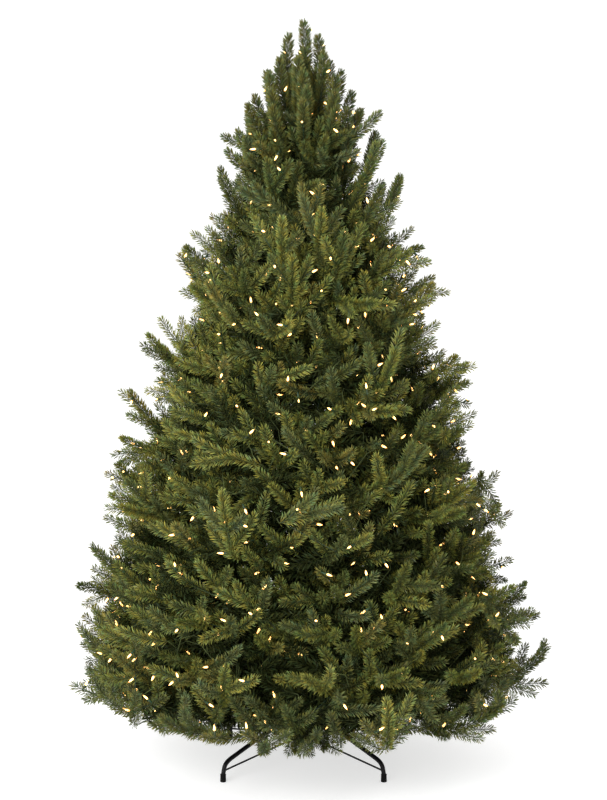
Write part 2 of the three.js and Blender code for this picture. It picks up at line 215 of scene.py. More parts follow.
sprays = {
    "pitch": 0.128,  # between clusters round the tree
    "row": 0.12,  # between rows of clusters up the tree
    "stagger": 0.25,  # share of a pitch, from row to row
    "jitter": (0.2, 0.3),  # shares of a pitch and of a row
    "hemGap": 0.012,  # of the lowest row
    "proud": 0.3,  # share of clusters that stand out
    "proudReach": (-0.03, 0.01),  # of their ends past the outline
    "reach": (-0.135, -0.075),  # of the others' ends
    "fullFrom": 0.3,  # outline radius from which they stand back in full
    "skirt": (0.48, 0.02),  # below this height they reach this much farther
    "length": (0.19, 0.225),
    "shift": (0.25, 0.012),  # of a cluster's end: share of a row, and metres aside
    "sides": (2, 5),  # side sprays on each cluster, and only one near the top
    "narrowFrom": 1.75,
    "bushyFrom": 1.8,
    "sideLength": (0.1, 0.13),
    "sideAngle": 42,
    "sideStart": 0.095,  # of the first side spray behind the cluster's end
    "sideStep": 0.036,
    "sideShift": 0.4,  # share of that step
    "sideSpread": (9, 16, 14),  # degrees, one sigma, of its angle, tilt and roll
    "sideHold": 0.6,  # share of its angle that is left at its end
    "heading": (28, 16),  # degrees, one sigma, and of those that stand out
    "tiltSpread": 13,
    "curl": 11,  # degrees by which the end turns up
    "sway": 0.1,  # radians, one sigma, of the base
    "nod": 0.1,  # share of clusters that hang, none of them near the top
    "nodBy": (25, 50),
    "clear": 0.062,  # of a spray's line above the hem
    "innerClear": 0.1,
    "topClear": 0.016,  # and below the top
    "reachClear": 0.018,  # and within the widest reach
    "hangClear": 0.024,  # and of the side sprays that hang in front
    "hangAngle": 17,  # of those side sprays
    "tries": 14,
    "room": 0.052,  # wanted between the outer halves of two sprays
    "least": 0.024,  # a spray with less is left out
    "near": 0.2,  # sprays farther off aren't measured
    "most": 9000,
    "points": 6,
    "ease": 1.5,
}
twigs = {
    "radii": (0.0019, 0.0009),
    "points": 4,
    "sides": 3,
    "bendCost": 1.6,
    "straight": 0.65,  # share of the way that leads on, or else it is a bend
    "bends": (0.4, 0.35),  # lengths of its curve's handles
}
layerKeys = ("pitch", "row", "depth", "swing", "tilt", "length")
# single sprays between and behind the clusters: depth under the outline, swing and tilt in degrees
layers = {
    "outer": dict(zip(layerKeys, (0.11, 0.11, (0.07, 0.145), (0, 60), (0, 60), 0.15))),
    "inner": dict(zip(layerKeys, (0.078, 0.078, (0.11, 0.18), (30, 110), (-25, 60), 0.16))),
    "deep": dict(zip(layerKeys, (0.1, 0.09, (0.2, 0.3), (40, 120), (-30, 50), 0.2))),
}
single = {
    "core": 0.04,  # no single spray ends nearer the pole
    "shift": (0.02, 0.03),  # aside and up
    "buried": 0.075,  # depth of the inner ones all along
}
underside = {
    "radii": (0.22, 0.58, 0.08),  # first, last and step
    "pitch": 0.09,
    "jitter": (0.2, 0.8),
    "lift": (0.005, 0.04),  # over the hem's face
    "sway": 0.5,
    "tilt": (-18, 12),
    "length": 0.16,
    "deepLifts": (0.07, 0.12),  # of the deep sprays over each of these
    "deepTurn": 1,
}


def outlineRadius(z):
    if z > crown["widest"]:
        left = (crown["height"] - z) / (crown["height"] - crown["widest"])
        return crown["reach"] * left ** crown["power"]
    share = (z - crown["hemHeight"]) / (crown["widest"] - crown["hemHeight"])
    return crown["hemRadius"] + share * (crown["reach"] - crown["hemRadius"])


def faceHeight(tier, radius):  # of a tier's lower face
    if tier == 0:
        return crown["hemHeight"] + crown["hemRise"] * (1 - radius / crown["hemRadius"])
    rise = tiers[tier]["rise"] if tier < len(tiers) else crown["topRise"]
    return rims[tier] - rise * (outlineRadius(rims[tier]) - radius)


def levelHeight(tier, share, radius):
    low = faceHeight(tier, radius)
    return low + share * (faceHeight(tier + 1, radius) - low)


def polar(radius, angle, z):
    return np.array([radius * cos(angle), radius * sin(angle), z])


def heading(angle, tilt):  # unit vector at a compass angle and a slope
    return polar(cos(tilt), angle, sin(tilt))


def bezier(corners, count, ease=1.0):  # an ease over 1 packs the points towards the end
    t = 1 - (1 - np.linspace(0, 1, count)[:, None]) ** ease
    if len(corners) == 3:
        a, b, c = corners
        return (1 - t) ** 2 * a + 2 * t * (1 - t) * b + t**2 * c
    a, b, c, d = corners
    return (1 - t) ** 3 * a + 3 * t * (1 - t) ** 2 * b + 3 * t**2 * (1 - t) * c + t**3 * d


def grow(end, angle, tilt, length):  # a spray's line from base to end, and its direction there
    curl = radians(sprays["curl"])
    atEnd = heading(angle, tilt + curl)
    atBase = heading(angle + rng.normal(0, sprays["sway"]), tilt - curl)
    base = end - length * (atEnd + atBase) / 2
    return bezier((base, base + atBase * length / 2, end), sprays["points"], sprays["ease"]), atBase


def keepInside(path, clear=sprays["clear"]):  # no needle passes the hem, the widest reach or the top
    across = norm(path[:, :2], axis=1)
    hem = crown["hemHeight"] + crown["hemRise"] * (1 - np.minimum(across / crown["hemRadius"], 1))
    path[:, 2] = np.clip(path[:, 2], hem + clear, crown["height"] - sprays["topClear"])
    most = crown["reach"] - sprays["reachClear"]
    path[:, :2] *= np.minimum(1, most / np.maximum(across, 1e-6))[:, None]
    return path


def joinTwig(base, atBase, wood):  # a thin stem from the bough sample that it leaves most smoothly
    gap = base - wood
    distance = norm(gap, axis=1)
    cost = distance + twigs["bendCost"] * np.maximum(0, twigs["straight"] * distance - gap @ atBase)
    start = wood[np.argmin(cost)]
    span = norm(base - start)
    lean = (base - start) / max(span, 1e-6)
    leave, arrive = twigs["bends"]
    corners = (start, start + lean * span * leave, base - atBase * span * arrive, base)
    return bezier(corners, twigs["points"])[:-1]


def places(tier, centre, half, pitch, row):  # angles and heights over a mass, in staggered rows
    low = max(rims[tier], crown["hemHeight"] + sprays["hemGap"])
    high = min(rims[tier + 1], crown["spireFrom"])
    rows = max(2, round((high - low) / row))
    aside, up = sprays["jitter"]
    for k in range(rows):
        level = low + (k + 0.5) / rows * (high - low)
        count = max(2, round(2 * half * outlineRadius(level) / pitch))
        stagger = sprays["stagger"] if k % 2 else -sprays["stagger"]
        for column in range(count):
            step = (column + 0.5 + stagger + rng.uniform(-aside, aside)) / count
            yield centre + half * (2 * step - 1), level + rng.uniform(-up, up) * row


rng = np.random.default_rng(crown["seed"])
grown = {"boughs": [], "outer": [], "spire": [], "inner": [], "deep": [], "twigs": []}
bushy = set()  # ids of the sprays that carry more needles: those that stand out, and all near the top
taken = {  # the lines that are grown so far, and their middles
    "count": 0,
    "middles": np.zeros((sprays["most"], 3)),
    "lines": np.zeros((sprays["most"], sprays["points"], 3)),
}


def clearance(path):  # of a spray's outer half from the sprays round it
    count = taken["count"]
    apart = norm(taken["middles"][:count] - path[len(path) // 2], axis=1)
    near = apart < sprays["near"]
    if not near.any():
        return 1.0
    others = taken["lines"][:count][near].reshape(-1, 3)
    return np.min(norm(others[None] - path[len(path) // 2 :, None], axis=2))


def buried(path, depth):  # whether a spray lies under the outline all along
    return all(hypot(x, y) < outlineRadius(z) - depth for x, y, z in path)


def roomiest(make):  # the first of some random sprays that stands clear of the others, or else the clearest
    best, most = None, -1
    for _ in range(sprays["tries"]):
        made = make()
        room = clearance(made[0]) if made else -1
        if room > most:
            best, most = made, room
        if room > sprays["room"]:
            break
    return best if most > sprays["least"] else None


def keep(kind, path, atBase=None, wood=None):  # a spray, and the twig that carries it
    taken["lines"][taken["count"]] = path
    taken["middles"][taken["count"]] = path[len(path) // 2]
    taken["count"] += 1
    grown[kind].append(path)
    stem = joinTwig(path[0], atBase, wood) if wood is not None else path[:0]
    rest = path[[0, 1, 3, 5]] if kind in ("outer", "spire") else path[:2]  # the inner ones show no twig
    grown["twigs"].append(np.concatenate([stem, rest]))


def growTopBoughs():
    root = np.array([0, 0, boughs["topRoot"]])
    rise, sink = np.array([0, 0, boughs["topRise"]]), np.array([0, 0, boughs["topSink"]])
    wood = []
    for count, turn, share, z, stagger in boughs["topEnds"]:
        for k in range(count):
            level = z + stagger * (k % 2)
            radius = (outlineRadius(level) - boughs["standBack"]) * share
            end = polar(radius, (k + turn) * tau / count, level)
            wood.append(bezier((root, root + rise, end - sink, end), boughs["points"]))
    return wood


def growBoughs(tier, centre, half):
    start = tiers[tier]["coreStart"]
    root = polar(start + boughs["seat"], centre, levelHeight(tier, 0.5, start))
    near, span = boughs["slopeFrom"], boughs["slopeSpan"]
    slope = atan2(levelHeight(tier, 0.5, near + span) - levelHeight(tier, 0.5, near), span)
    lowest, levels = boughs["levels"]
    wood = []
    for side, share in boughs["forks"]:
        radius = outlineRadius(rims[tier] + share * (rims[tier + 1] - rims[tier])) - boughs["standBack"]
        angle = centre + side * half * boughs["spread"]
        end = polar(radius, angle, levelHeight(tier, lowest + levels * share, radius))
        reach, bend = norm(end - root), boughs["bend"]
        lead, arrive = heading(centre, slope), heading(angle, slope * boughs["endSlope"])
        corners = (root, root + lead * reach * bend, end - arrive * reach * bend, end)
        wood.append(bezier(corners, boughs["points"]))
    return wood


def growSpire(wood):
    aside, up = crown["spireLoose"]
    for count, turn, radius, z, tilt in crown["spire"]:
        loose = 1 if count > 2 else crown["tipLoose"]
        for k in range(count):
            angle = radians(turn) + tau * (k + loose * rng.uniform(-aside, aside)) / count
            end = polar(radius, angle, z + loose * rng.uniform(-up, up))
            keep("spire", *grow(end, angle, radians(tilt), crown["spireLength"]), wood)


def growCluster(angle, z, slope, wood, radius=None):
    # a leading spray and the side sprays that fork from it; one with a radius hangs at a set place
    proud = rng.random() < sprays["proud"]
    rowShare, sideways = sprays["shift"]

    def lead():
        length = rng.uniform(*sprays["length"])
        if radius:
            path, atBase = grow(polar(radius, angle, z), angle, radians(slope), length)
            return path, atBase, angle, radians(slope)
        level = z + rng.uniform(-rowShare, rowShare) * sprays["row"]
        reach = rng.uniform(*sprays["proudReach" if proud else "reach"])
        if not proud:
            reach *= min(1, outlineRadius(level) / sprays["fullFrom"])
        if level < sprays["skirt"][0]:
            reach += sprays["skirt"][1]
        across = outlineRadius(level) + reach
        way = angle + radians(rng.normal(0, sprays["heading"][int(proud)]))
        tilt = radians(slope + rng.normal(0, sprays["tiltSpread"]))
        end = polar(across, angle + rng.normal(0, sideways / max(across, 0.05)), level)
        path, atBase = grow(end, way, tilt, length)
        return keepInside(path), atBase, way, tilt

    made = roomiest(lead)
    if made is None:
        return
    leader, atBase, way, tilt = made
    keep("outer", leader, atBase, wood)
    if proud or radius or z > sprays["bushyFrom"]:
        bushy.add(id(leader))
    steps = norm(np.diff(leader, axis=0), axis=1)
    behind = np.concatenate([np.cumsum(steps[::-1])[::-1], [0]])
    side = rng.choice([-1, 1])
    turnSpread, tiltSpread, rollSpread = sprays["sideSpread"]
    shift, hold = sprays["sideShift"], sprays["sideHold"]
    for k in range(rng.integers(*sprays["sides"]) if z < sprays["narrowFrom"] else 1):

        def fork():
            station = sprays["sideStart"] + sprays["sideStep"] * (k + rng.uniform(-shift, shift))
            start = np.array([np.interp(-station, -behind, leader[:, axis]) for axis in range(3)])
            turn = sprays["hangAngle" if radius else "sideAngle"]
            spread = radians(turn + rng.normal(0, turnSpread))
            ahead = heading(way, tilt + radians(rng.normal(0, tiltSpread)))
            aside = side * heading(way + pi / 2, radians(rng.normal(0, rollSpread)))
            first = ahead * cos(spread) + aside * sin(spread)
            last = ahead * cos(spread * hold) + aside * sin(spread * hold)
            length = rng.uniform(*sprays["sideLength"])
            corners = (start, start + first * length / 2, start + (first + last) * length / 2)
            path = bezier(corners, sprays["points"], sprays["ease"])
            return (keepInside(path, sprays["hangClear"] if radius else sprays["clear"]),)

        forked = roomiest(fork)
        if forked:
            keep("outer", forked[0])
            if z > sprays["bushyFrom"]:
                bushy.add(id(forked[0]))
        side = -side


def growLayer(kind, tier, centre, half, wood):
    layer = layers[kind]
    aside, up = single["shift"]
    for angle, z in list(places(tier, centre, half, layer["pitch"], layer["row"])):

        def lone():
            radius = max(outlineRadius(z) - rng.uniform(*layer["depth"]), single["core"])
            way = angle + rng.choice([-1, 1]) * radians(rng.uniform(*layer["swing"]))
            end = polar(radius, angle + rng.normal(0, aside / radius), z + rng.uniform(-up, up))
            tilt = radians(rng.uniform(*layer["tilt"]))
            path, atBase = grow(end, way, tilt, layer["length"])
            if kind == "outer":
                return keepInside(path), atBase
            if buried(path, single["buried"]):
                return keepInside(path, sprays["innerClear"]), atBase
            return None

        made = roomiest(lone)
        if made:
            keep(kind, *made, wood)


def growUnderside(centre, half, wood):
    length = underside["length"]
    for radius in np.arange(*underside["radii"]):
        count = round(2 * half * radius / underside["pitch"])
        for k in range(count):
            angle = centre + half * (2 * (k + rng.uniform(*underside["jitter"])) / count - 1)
            z = faceHeight(0, radius) + rng.uniform(*underside["lift"])
            way = angle + rng.normal(0, underside["sway"])
            rise = radians(rng.uniform(*underside["tilt"]))
            under, atBase = grow(polar(radius, angle, z), way, rise, length)
            keep("outer", keepInside(under), atBase, wood)
            for lift in underside["deepLifts"]:
                end = polar(radius, angle, z + lift)
                over, atBase = grow(end, way + underside["deepTurn"], rise, length)
                keep("deep", keepInside(over, sprays["innerClear"]), atBase, wood)


def slopeAt(tier, z):  # degrees, of the clusters at a height
    if z < crown["widest"]:
        least, more = crown["hemTilt"]
        return least + more * (z - crown["hemHeight"]) / (crown["widest"] - crown["hemHeight"])
    if tier < len(tiers):
        return tiers[tier]["tilt"]
    least, more = crown["topTilt"]
    return least + more * (z - crown["topRim"]) / (crown["spireFrom"] - crown["topRim"])


def growMass(tier, centre, half):
    isTop = tier == len(tiers)
    made = growTopBoughs() if isTop else growBoughs(tier, centre, half)
    wood = np.concatenate([path[2:] for path in made])
    if not isTop and tiers[tier]["limb"]:  # the limb that carries the mass
        collar = tiers[tier]["collar"]
        start = polar(collar + boughs["seat"], centre, levelHeight(tier, 0.5, collar))
        made[0] = np.concatenate([np.linspace(start, made[0][0], 6)[:-1], made[0]])
    grown["boughs"] += made
    if isTop:
        growSpire(wood)
    for angle, z in list(places(tier, centre, half, sprays["pitch"], sprays["row"])):
        slope = slopeAt(tier, z)
        if rng.random() < sprays["nod"] and z < sprays["narrowFrom"]:
            slope -= rng.uniform(*sprays["nodBy"])
        growCluster(angle, z, slope, wood)
    if tier == 0:
        growUnderside(centre, half, wood)
        for hangAngle, radius, z, tilt in crown["hanging"]:
            if abs(remainder(radians(hangAngle) - centre, tau)) < half:
                growCluster(radians(hangAngle), z, tilt, wood, radius)
    for kind in layers:
        growLayer(kind, tier, centre, half, wood)


massNodes, limbNodes = ["foliage_top"], []
for tier, spec in enumerate(tiers):
    half = pi / spec["masses"]
    for i in range(spec["masses"]):
        growMass(tier, radians(spec["turn"]) + 2 * half * i, half)
        massNodes.append(f"foliage_tier{tier + 1}_{i + 1}")
        if spec["limb"]:
            limbNodes.append(f"bough_tier{tier + 1}_{i + 1}")
growMass(len(tiers), 0, pi)
print("crown grown:", {kind: len(paths) for kind, paths in grown.items()})


def linesObject(paths, attributes):  # open polylines as a mesh of edges, with values at their points
    counts = [len(path) for path in paths]
    starts = np.cumsum([0] + counts[:-1])
    firsts = np.concatenate([np.arange(start, start + count - 1) for start, count in zip(starts, counts)])
    lines = meshObject("lines", np.concatenate(paths), [], np.stack([firsts, firsts + 1], 1).tolist())
    for key, values in attributes.items():
        setValues(lines.data, key, "FLOAT", np.concatenate(values))
    return lines


def grownFrom(source, tree, name, settings):  # the plain mesh that a node tree makes of a source object
    modifier = source.modifiers.new("grow", "NODES")
    modifier.node_group = tree
    for item in tree.interface.items_tree:
        if item.in_out == "INPUT" and item.name in settings:
            modifier[item.identifier] = settings[item.name]
    evaluated = source.evaluated_get(bpy.context.evaluated_depsgraph_get())
    mesh = bpy.data.meshes.new_from_object(evaluated)
    mesh.name = name
    source.modifiers.remove(modifier)
    bpy.data.objects.remove(source)
    return newObject(name, mesh)


def newTree(name, **inputs):  # a geometry tree with its named inputs
    tree = bpy.data.node_groups.new(name, "GeometryNodeTree")
    for way in ("INPUT", "OUTPUT"):
        tree.interface.new_socket("Geometry", in_out=way, socket_type="NodeSocketGeometry")
    for label, kind in inputs.items():
        tree.interface.new_socket(label, in_out="INPUT", socket_type="NodeSocket" + kind)
    return tree, addNode(tree, "NodeGroupInput").outputs


def endTree(tree, shape, material=None):  # its copies turned into one mesh
    done = addNode(tree, "GeometryNodeRealizeInstances", {0: shape})
    if material:
        done = addNode(tree, "GeometryNodeSetMaterial", {0: done, "Material": material})
    addNode(tree, "NodeGroupOutput", {0: done})
    return tree


def needleTree():
    # needles in whorls along every line, each line carrying its own step, lean, roll and needle length
    inputs = {"Needle": "Object", "Turn": "Float", "Width": "Float", "Seed": "Int", "Material": "Material"}
    tree, given = newTree("needlesAlong", **inputs)
    line = addNode(tree, "GeometryNodeMeshToCurve", {0: given["Geometry"]})
    step, lean, long, roll = [
        addNode(tree, "GeometryNodeInputNamedAttribute", {0: name}, data_type="FLOAT")
        for name in ("step", "lean", "needle", "roll")
    ]
    points = addNode(tree, "GeometryNodeCurveToPoints", {0: line, "Length": step}, mode="LENGTH")
    index = addNode(tree, "GeometryNodeInputIndex")

    chance = []  # a value of its own for every needle, for each use
    for k, use in enumerate(("spin", "sway", "edge", "lengths", "vary")):
        low, high = needles[use]
        seed = addNode(tree, "ShaderNodeMath", {0: given["Seed"], 1: float(k)}, operation="ADD")
        chance.append(addNode(tree, "FunctionNodeRandomValue", {2: low, 3: high, 8: seed}).outputs[1])
    turned = {0: index, 1: given["Turn"], 2: chance[0]}
    spin = addNode(tree, "ShaderNodeMath", turned, operation="MULTIPLY_ADD")
    double = addNode(tree, "ShaderNodeMath", {0: spin, 1: 2.0}, operation="MULTIPLY")
    wave = addNode(tree, "ShaderNodeMath", {0: double}, operation="SINE")
    combed = {0: wave, 1: -needles["flatness"], 2: spin}
    flat = addNode(tree, "ShaderNodeMath", combed, operation="MULTIPLY_ADD")
    rolled = addNode(tree, "ShaderNodeMath", {0: flat, 1: roll}, operation="ADD")
    leaned = addNode(tree, "ShaderNodeMath", {0: lean, 1: chance[1]}, operation="ADD")
    rotation = points.outputs["Rotation"]
    for axis, angle in (((0, 0, 1), rolled), ((0, 1, 0), leaned), ((0, 0, 1), chance[2])):
        turn = addNode(tree, "FunctionNodeAxisAngleToRotation", {"Axis": axis, "Angle": angle})
        rotation = addNode(tree, "FunctionNodeRotateRotation", {0: rotation, 1: turn}, rotation_space="LOCAL")
    length = addNode(tree, "ShaderNodeMath", {0: long, 1: chance[3]}, operation="MULTIPLY")
    size = addNode(tree, "ShaderNodeCombineXYZ", {0: given["Width"], 1: given["Width"], 2: length})
    needle = addNode(tree, "GeometryNodeObjectInfo", {0: given["Needle"]}).outputs["Geometry"]
    sockets = {"Points": points, "Instance": needle, "Rotation": rotation, "Scale": size}
    copies = addNode(tree, "GeometryNodeInstanceOnPoints", sockets)
    sockets = {0: copies, "Name": "vary", "Value": chance[4]}
    shaded = addNode(tree, "GeometryNodeStoreNamedAttribute", sockets, data_type="FLOAT", domain="INSTANCE")
    return endTree(tree, shaded, given["Material"])


def tubeTree():  # a round tube along every line, as thick as its "radius"
    tree, given = newTree("tubesAlong", Sides="Int", Material="Material")
    line = addNode(tree, "GeometryNodeMeshToCurve", {0: given["Geometry"]})
    radius = addNode(tree, "GeometryNodeInputNamedAttribute", {0: "radius"}, data_type="FLOAT")
    ring = addNode(tree, "GeometryNodeCurvePrimitiveCircle", {"Resolution": given["Sides"], "Radius": 1.0})
    tube = addNode(tree, "GeometryNodeCurveToMesh", {0: line, 1: ring, "Scale": radius, "Fill Caps": True})
    smooth = addNode(tree, "GeometryNodeSetShadeSmooth", {0: tube})
    return endTree(tree, smooth, given["Material"])


def scatterTree():  # one shape on every point, along its "aim"
    tree, given = newTree("placed", Shape="Object")
    aim = addNode(tree, "GeometryNodeInputNamedAttribute", {0: "aim"}, data_type="FLOAT_VECTOR")
    turn = addNode(tree, "FunctionNodeAlignRotationToVector", {"Vector": aim}, axis="Z")
    shape = addNode(tree, "GeometryNodeObjectInfo", {0: given["Shape"]}).outputs["Geometry"]
    sockets = {"Points": given["Geometry"], "Instance": shape, "Rotation": turn}
    return endTree(tree, addNode(tree, "GeometryNodeInstanceOnPoints", sockets))


def settle(piece, slotName, *nodes):
    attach(piece, "root")
    if nodes:
        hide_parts(*nodes)


surface = {  # how every finish spreads its tones
    "tones": (0.35, 0.65),  # parts of the noise between which the dark tone turns into the light one
    "sheen": (0.3, 0.7, 0.07),  # the same for roughness, and how far it goes either way
    "paintedTipLight": 1.4,  # painted light: a needle's tip against its middle
    "bump": 0.6,
}


def finish(name, light, dark, roughness, patch, grain=0.001, relief=0.0, shine=0.5, root=None):
    # two tones in soft patches, roughness that follows them, and a fine raised grain; sizes in metres
    # root is painted shade that darkens the tones towards the foot of each needle, with painted light towards
    # its tip
    material, shader = newMaterial(name, {"Specular IOR Level": shine})
    tree = material.node_tree
    place = addNode(tree, "ShaderNodeTexCoord").outputs["Object"]
    soft = addNode(tree, "ShaderNodeTexNoise", {"Vector": place, "Scale": 1 / patch, "Detail": 3.0})
    tones = addNode(tree, "ShaderNodeValToRGB", {0: soft})
    for element, position, tone in zip(tones.color_ramp.elements, surface["tones"], (dark, light)):
        element.position, element.color = position, fromHex(tone)
    colour = tones.outputs[0]
    if root:
        tip, vary = [
            addNode(tree, "ShaderNodeAttribute", attribute_name=value).outputs["Fac"]
            for value in ("tip", "vary")
        ]
        # painted shade at the needle's foot and painted light at its tip, times the needle's own random shade
        ramp = addNode(tree, "ShaderNodeMapRange", {0: tip, 1: 0.0, 2: 1.0, 3: root, 4: surface["paintedTipLight"]})
        shade = addNode(tree, "ShaderNodeMath", {0: ramp, 1: vary}, operation="MULTIPLY")
        colour = addNode(tree, "ShaderNodeVectorMath", {0: colour, 3: shade}, operation="SCALE").outputs[0]
    low, high, either = surface["sheen"]
    spread = {0: soft, 1: low, 2: high, 3: roughness - either, 4: roughness + either}
    made = {"Base Color": colour, "Roughness": addNode(tree, "ShaderNodeMapRange", spread).outputs[0]}
    if relief:
        fine = addNode(tree, "ShaderNodeTexNoise", {"Vector": place, "Scale": 1 / grain, "Detail": 2.0})
        raised = {"Height": fine, "Distance": relief, "Strength": surface["bump"]}
        made["Normal"] = addNode(tree, "ShaderNodeBump", raised).outputs[0]
    for socket, value in made.items():
        tree.links.new(value, shader.inputs[socket])
    return material


def smoothed(piece, angle=35):
    piece.data.polygons.foreach_set("use_smooth", [True] * len(piece.data.polygons))
    piece.data.set_sharp_from_angle(angle=radians(angle))
    return piece


def solidPiece(name, shape, material, slotName, nodes, sharp=35):
    piece = smoothed(meshObject(name, *shape), sharp)
    piece.data.materials.append(material)
    settle(piece, slotName, *nodes)


tubes = tubeTree()


def tubePiece(name, paths, radii, sides, material):  # tubes from one radius to another, along every path
    source = linesObject(paths, {"radius": [np.linspace(*radii, len(path)) for path in paths]})
    return grownFrom(source, tubes, name, {"Sides": sides, "Material": material})


lights = {
    "count": 710,
    "seed": 77,
    "tries": 40000,
    "apart": 0.05,
    "stand": (0.012, 0.022),  # of a bulb's foot from its spray's line
    "outward": 0.7,  # pull of their directions away from the pole
    "aimAlong": (-0.3, 1.1),  # lean towards the spray's end
    "lowest": 0.075,  # foot over the hem
    "risingTo": (0.13, 0.12),  # over the hem: below these heights none points down
    "sides": 6,
    # radii and heights
    "glass": ((0.0019, 0), (0.0027, 0.003), (0.0029, 0.007), (0.0024, 0.0115), (0.0015, 0.0155), (0, 0.0195)),
    "holder": ((0, -0.017), (0.0026, -0.017), (0.0032, -0.013), (0.0034, 0), (0.0018, 0.0015)),
    "tail": 0.016,  # of the holder below the foot, where the wire enters
    "body": (0.002, 0.0135),  # the part of the glass that is hot
    "hot": ((1.0, 0.6, 0.19), 4.4),  # its linear colour and strength
    "warm": ((1.0, 0.37, 0.06), 3.4),  # towards the tip and the foot
    "tint": (0.9, 0.7, 0.35, 1),
    "gloss": 0.08,
    "sharp": 60,
    "wireRadii": (0.001, 0.001),
    "wireSides": 4,
    "wireOff": 0.003,  # of a wire from its spray's line
    "wireReach": 0.2,  # longest wire between two sprays
    "wireLowest": 0.225,  # no wire hangs under this height
}


def placeBulbs(chance):  # foot, direction and spray of every bulb, none too near another
    feet, aims, stems, bearers = [], [], [], []
    lines = grown["outer"] + 2 * grown["spire"]
    hem = crown["hemHeight"]
    footRise, aimRise = lights["risingTo"]
    tries = 0
    while len(feet) < lights["count"] and tries < lights["tries"]:
        tries += 1
        number = chance.integers(len(lines))
        path = lines[number]
        k = chance.integers(1, len(path) - 1)
        along = path[k] - path[k - 1]
        along /= norm(along)
        outward = polar(lights["outward"], atan2(path[k][1], path[k][0]), 0)
        away = chance.normal(0, 1, 3) + outward
        away -= along * (away @ along)
        away /= norm(away)
        if path[k][2] < hem + footRise:
            away[2] = abs(away[2])
        foot = path[k] + away * chance.uniform(*lights["stand"])
        if foot[2] < hem + lights["lowest"]:
            continue
        if feet and np.min(norm(np.array(feet) - foot, axis=1)) < lights["apart"]:
            continue
        aim = away + along * chance.uniform(*lights["aimAlong"])
        if foot[2] < hem + aimRise:
            aim[2] = abs(aim[2])
        stems.append(path[: k + 1] + away * lights["wireOff"])
        bearers.append(int(number))
        feet.append(foot)
        aims.append(aim / norm(aim))
    return {"feet": np.array(feet), "aims": np.array(aims), "stems": stems, "bearers": bearers}


bulbs = placeBulbs(np.random.default_rng(lights["seed"]))


needles = {
    "seed": 5,
    "fold": 0.3,
    "broad": 0.66,  # where along it a needle is widest
    "lean": 0.9,  # radians from the twig
    "endLean": 0.36,
    "endShare": 0.78,  # length of the needles at a spray's end
    "endPower": 12,  # how late both set in
    "roll": 0.6,  # radians either way, from spray to spray
    "turn": tau / 8 + 0.012,  # round the twig from one needle to the next
    "flatness": 0.1,  # how far the whorls are combed to the sides
    "spin": (-0.13, 0.13),  # these five change from needle to needle: its turn round the twig
    "sway": (-0.2, 0.2),  # its lean
    "edge": (radians(45), radians(135)),  # its turn about its own axis, mostly on edge to the twig
    "lengths": (0.86, 1.08),
    "vary": (0.62, 1.38),  # its shade
    "outer": {"step": 0.00096, "bushyStep": 0.0005, "width": 0.0033, "length": 0.0276},
    "spire": {"step": 0.00046, "width": 0.0034, "length": 0.031, "turn": 2.4},
    "inner": {"step": 0.0021, "width": 0.0048, "length": 0.034},
    "deep": {"step": 0.003, "width": 0.0095, "length": 0.048},
    "bough": {"step": 0.0022, "width": 0.01, "length": 0.052},
    "shades": ["656C30", "6C7235", "787C3A", "5A6331", "505729", "706F37", "5C6539"],
    # the sixth shade has no weight: it is the painted lamp glow, dealt only to sprays that carry a bulb
    "weights": [0.22, 0.24, 0.2, 0.14, 0.1, 0, 0.1],
    "dark": ((3, 4, 6), 0.36, 1.72),  # painted shade: darker shades for the sprays below and above these heights
    "paintedLampGlow": (5, 0.26),  # painted lamp glow: the warmer, browner shade of a share of the sprays that carry a bulb
    # painted shade: a darker green for the sprays at the top
    "paintedTopShade": "565C2D",
    # painted shade: a near-black green for the sprays inside the crown and the needles on the boughs
    "paintedInnerShade": "262D14",
    "warm": (1.1, 0.97, 0.78),  # shares of red, green and blue in a shade's light patches
    "cold": (0.8, 0.93, 1.08),  # and in its dark ones
    "patch": 0.018,
    "paintedRootShade": 0.28,  # painted shade: a needle's foot against its middle
    "roughness": 0.42,
    "shine": 0.25,
    "innerShine": 0.05,
}


def tinted(text, shares):  # a hex colour with each channel at its own share
    channels = [round(int(text[i : i + 2], 16) * share) for i, share in zip((0, 2, 4), shares)]
    return "".join(f"{min(255, channel):02X}" for channel in channels)


def needleValues(paths, size, chance):  # lean and length along each spray, and each spray's own step and roll
    values = {"step": [], "lean": [], "needle": [], "roll": []}
    for path in paths:
        late = (1 - (1 - np.linspace(0, 1, len(path))) ** sprays["ease"]) ** needles["endPower"]
        values["lean"].append(needles["lean"] + (needles["endLean"] - needles["lean"]) * late)
        values["needle"].append(size["length"] * (1 + (needles["endShare"] - 1) * late))
        values["step"].append(np.full(len(path), size["bushyStep" if id(path) in bushy else "step"]))
        values["roll"].append(np.full(len(path), chance.uniform(-needles["roll"], needles["roll"])))
    return values


